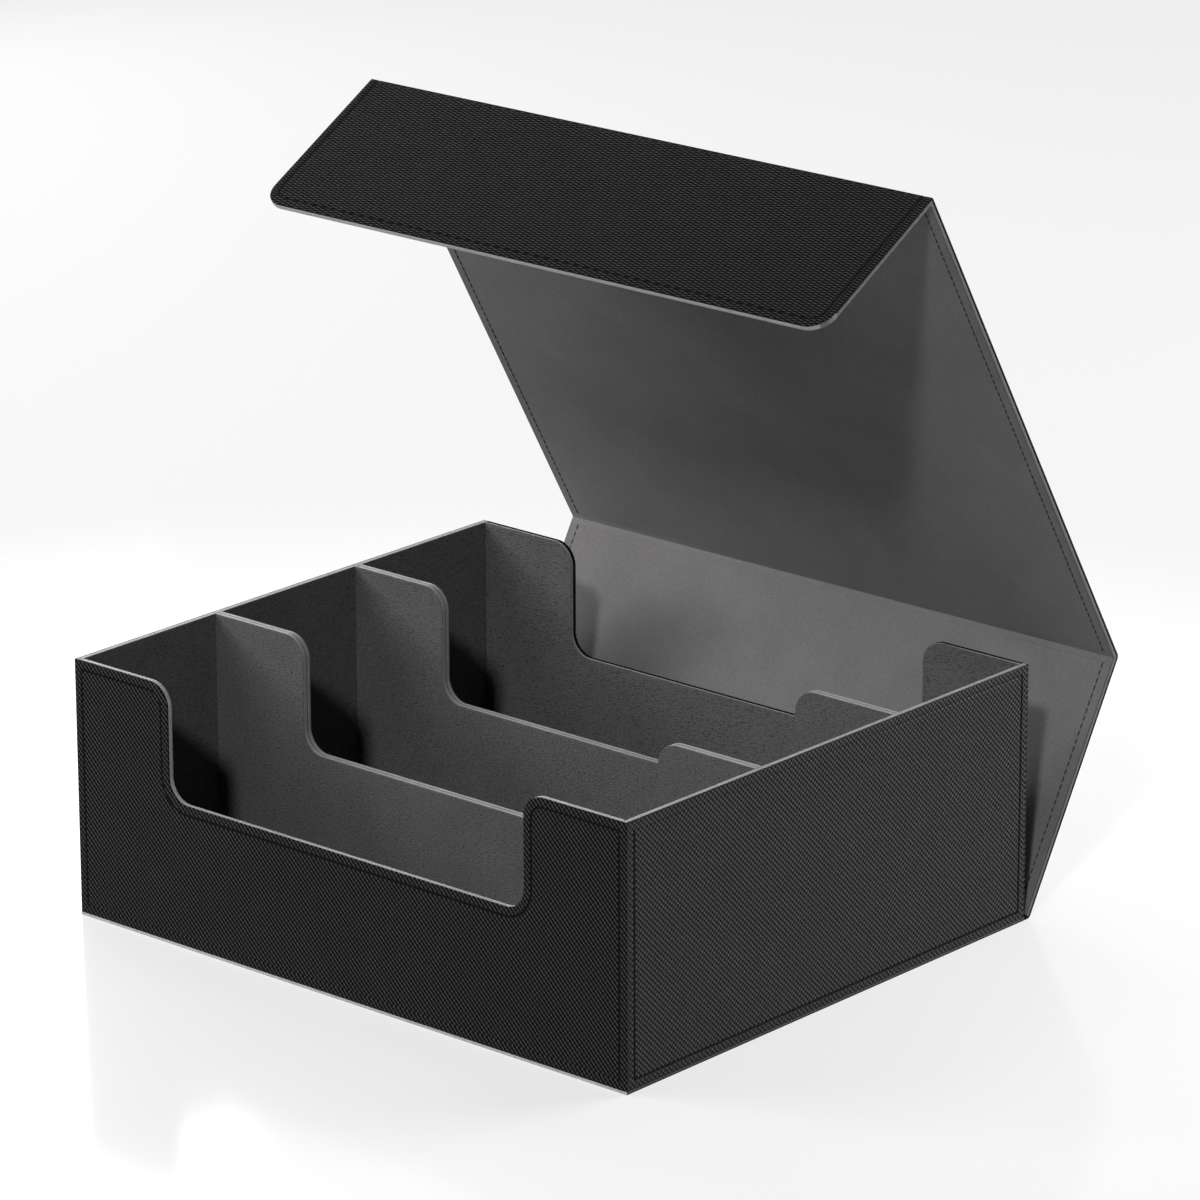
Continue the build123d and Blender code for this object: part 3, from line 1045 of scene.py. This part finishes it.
def lay_stitches():
    """One mesh of stitches for each body and thread."""
    threads = {"hem": (hem_thread, "covering"), "lining": (lining_thread, "lining")}
    trees = {name: stitch_tree(material) for name, (material, slot) in threads.items()}
    sizes = {"Pitch": STITCH_PITCH, "Stitch length": STITCH_LENGTH, "Thread radius": THREAD_RADIUS}
    for (body, thread), lines in stitch_lines.items():
        points = []
        edges = []
        for line in lines:
            first = len(points)
            points += line
            edges += [(first + i, first + i + 1) for i in range(len(line) - 1)]
        guide = bpy.data.meshes.new("stitch_guide")
        guide.from_pydata(points, edges, [])
        carrier = bpy.data.objects.new("stitch_guide", guide)
        bpy.context.collection.objects.link(carrier)
        modifier = carrier.modifiers.new("stitches", "NODES")
        tree, inputs = trees[thread]
        modifier.node_group = tree
        for name, size in sizes.items():
            modifier[inputs[name]] = size * MM
        bpy.context.view_layer.update()
        shown = carrier.evaluated_get(bpy.context.evaluated_depsgraph_get())
        mesh = bpy.data.meshes.new_from_object(shown)
        mesh.name = f"{body}_{thread}_stitches"
        material, slot = threads[thread]
        if material.name not in mesh.materials:
            mesh.materials.append(material)
        carrier.modifiers.clear()
        bpy.data.objects.remove(carrier)
        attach(stand(mesh, []), body)


def finish_boards():
    """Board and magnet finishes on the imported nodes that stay."""
    for name, node in frame["nodes"].items():
        finish = magnet_finish if name.endswith("_magnets") else board_finish
        finish = base_board_finish if name == "base_board" else finish
        if name.endswith(("_board", "_magnets")):
            node.data.materials.clear()
            node.data.materials.append(finish)


dress_wall("front", front_face, True)
dress_wall("rear", rear_face, True)
dress_wall("left", left_face, False)
dress_wall("right", right_face, False)
for divider_name in ("front", "rear"):
    for ply_side in ("front", "rear"):
        dress_divider(divider_name, ply_side)
for lane_name in ("front", "middle", "rear"):
    dress_lane(lane_name)
dress_base()
dress_cover()
dress_folds()
lay_stitches()
finish_boards()

# Studio: floor, light and the photograph's camera
CAMERA_PLACE = (1.71621, -1.92120, 0.98462)
CAMERA_TURN = (71.813, 0.147, 41.277)
CAMERA_LENS = 199.53
CAMERA_SENSOR = 36.0
KEY_TOWARD = (0.38, -0.714, 0.588)
KEY_STRENGTH = 1.35
KEY_SPREAD = 5.0
# Softboxes, each with its azimuth, elevation, size and power
SOFTBOXES = {
    "left_softbox": (-50, 38, 0.9, 11.8),
    "left_lamp": (-55, 25, 0.35, 5.9),
    "rear_left_softbox": (-113, 17, 0.9, 15.0),
    "right_softbox": (150, 10, 0.9, 41.0),
    "back_softbox": (180, 60, 0.9, 9.0),
}
SOFTBOX_AIM = (0.0, 0.03, 0.12)
SOFTBOX_DISTANCE = 1.6
WORLD_LEVEL = 0.02

# Floor: its albedo, its share of plain white near and far, and its gloss
FLOOR_REACH = 9.0
FLOOR_GREY = 0.5
FLOOR_GREY_SHOWN = 0.85
FLOOR_ROUGHNESS = 0.6
FLOOR_SPECULAR = 0.2
FLOOR_WHITE = 0.68
FLOOR_WHITE_FAR = 0.9
FLOOR_GLOW_FAR = 0.865
FLOOR_NEAR = 0.25
FLOOR_FAR = 0.62
FLOOR_GLOSS = 0.07
FLOOR_GLOSS_ROUGHNESS = 0.12
FLOOR_DROP = 0.00005


def shown_ray(tree):
    """1 for rays that show the background: from the camera, in gloss or through glass."""
    path = tree.node("ShaderNodeLightPath").outputs
    seen = tree.math("MAXIMUM", path["Is Camera Ray"], path["Is Glossy Ray"])
    return tree.math("MAXIMUM", seen, path["Is Transmission Ray"])


def lay_floor():
    """Pale floor that shows white and keeps the box's shadow."""
    mesh = bpy.data.meshes.new("floor")
    corners = [(-1, -1), (1, -1), (1, 1), (-1, 1)]
    points = [(x * FLOOR_REACH, y * FLOOR_REACH, -FLOOR_DROP) for x, y in corners]
    mesh.from_pydata(points, [], [(0, 1, 2, 3)])
    material, tree, shader = new_finish("pale_floor")
    paler = FLOOR_GREY_SHOWN - FLOOR_GREY
    grey = tree.math("MULTIPLY_ADD", shown_ray(tree), paler, FLOOR_GREY)
    tree.feed(shader.inputs["Base Color"], grey)
    shader.inputs["Roughness"].default_value = FLOOR_ROUGHNESS
    shader.inputs["Specular IOR Level"].default_value = FLOOR_SPECULAR
    glow = tree.node("ShaderNodeEmission")
    gloss = tree.node("ShaderNodeBsdfGlossy")
    gloss.inputs["Roughness"].default_value = FLOOR_GLOSS_ROUGHNESS
    white = tree.node("ShaderNodeMixShader")
    away = tree.node("ShaderNodeVectorMath", operation="LENGTH")
    tree.feed(away.inputs[0], object_place(tree))
    fade = tree.node("ShaderNodeMapRange", interpolation_type="SMOOTHSTEP")
    tree.feed(fade.inputs["Value"], away.outputs["Value"])
    tree.feed(fade.inputs["From Min"], FLOOR_NEAR)
    tree.feed(fade.inputs["From Max"], FLOOR_FAR)
    far = fade.outputs["Result"]
    tree.feed(glow.inputs["Strength"], tree.math("MULTIPLY_ADD", far, FLOOR_GLOW_FAR - 1.0, 1.0))
    share = tree.math("MULTIPLY_ADD", far, FLOOR_WHITE_FAR - FLOOR_WHITE, FLOOR_WHITE)
    tree.feed(white.inputs[0], tree.math("MULTIPLY", shown_ray(tree), share))
    tree.feed(white.inputs[1], shader.outputs[0])
    tree.feed(white.inputs[2], glow.outputs[0])
    polished = tree.node("ShaderNodeMixShader")
    tree.feed(polished.inputs[0], tree.math("MULTIPLY_ADD", far, -FLOOR_GLOSS, FLOOR_GLOSS))
    tree.feed(polished.inputs[1], white.outputs[0])
    tree.feed(polished.inputs[2], gloss.outputs[0])
    tree.feed(material.node_tree.nodes["Material Output"].inputs["Surface"], polished.outputs[0])
    mesh.materials.append(material)
    floor = bpy.data.objects.new("floor", mesh)
    bpy.context.collection.objects.link(floor)


def light_world():
    """Dim even light, white where it is seen."""
    world = bpy.data.worlds.new("studio")
    world.use_nodes = True
    tree = Tree(world.node_tree)
    background = world.node_tree.nodes["Background"]
    level = tree.math("MULTIPLY_ADD", shown_ray(tree), 1.0 - WORLD_LEVEL, WORLD_LEVEL)
    background.inputs["Color"].default_value = (1, 1, 1, 1)
    tree.feed(background.inputs["Strength"], level)
    bpy.context.scene.world = world


def hang_key():
    """Key light from the front, to the right."""
    lamp = bpy.data.lights.new("key", "SUN")
    lamp.energy = KEY_STRENGTH
    lamp.angle = radians(KEY_SPREAD)
    key = bpy.data.objects.new("key", lamp)
    key.rotation_euler = Vector(KEY_TOWARD).to_track_quat("Z", "Y").to_euler()
    bpy.context.collection.objects.link(key)


def hang_softbox(name, azimuth, elevation, size, power):
    """A square softbox aimed at the box; the azimuth turns from the front towards the right."""
    turn = radians(azimuth)
    rise = radians(elevation)
    toward = Vector((sin(turn) * cos(rise), -cos(turn) * cos(rise), sin(rise)))
    lamp = bpy.data.lights.new(name, "AREA")
    lamp.size = size
    lamp.energy = power
    softbox = bpy.data.objects.new(name, lamp)
    softbox.location = Vector(SOFTBOX_AIM) + toward * SOFTBOX_DISTANCE
    softbox.rotation_euler = toward.to_track_quat("Z", "Y").to_euler()
    bpy.context.collection.objects.link(softbox)


def set_camera():
    """The photograph's view."""
    lens = bpy.data.cameras.new("camera")
    lens.lens = CAMERA_LENS
    lens.sensor_width = CAMERA_SENSOR
    camera = bpy.data.objects.new("camera", lens)
    camera.location = CAMERA_PLACE
    camera.rotation_euler = Euler([radians(turn) for turn in CAMERA_TURN])
    bpy.context.collection.objects.link(camera)
    bpy.context.scene.camera = camera


lay_floor()
light_world()
hang_key()
for softbox_name, softbox_setting in SOFTBOXES.items():
    hang_softbox(softbox_name, *softbox_setting)
set_camera()
bpy.context.scene.view_settings.view_transform = "Standard"
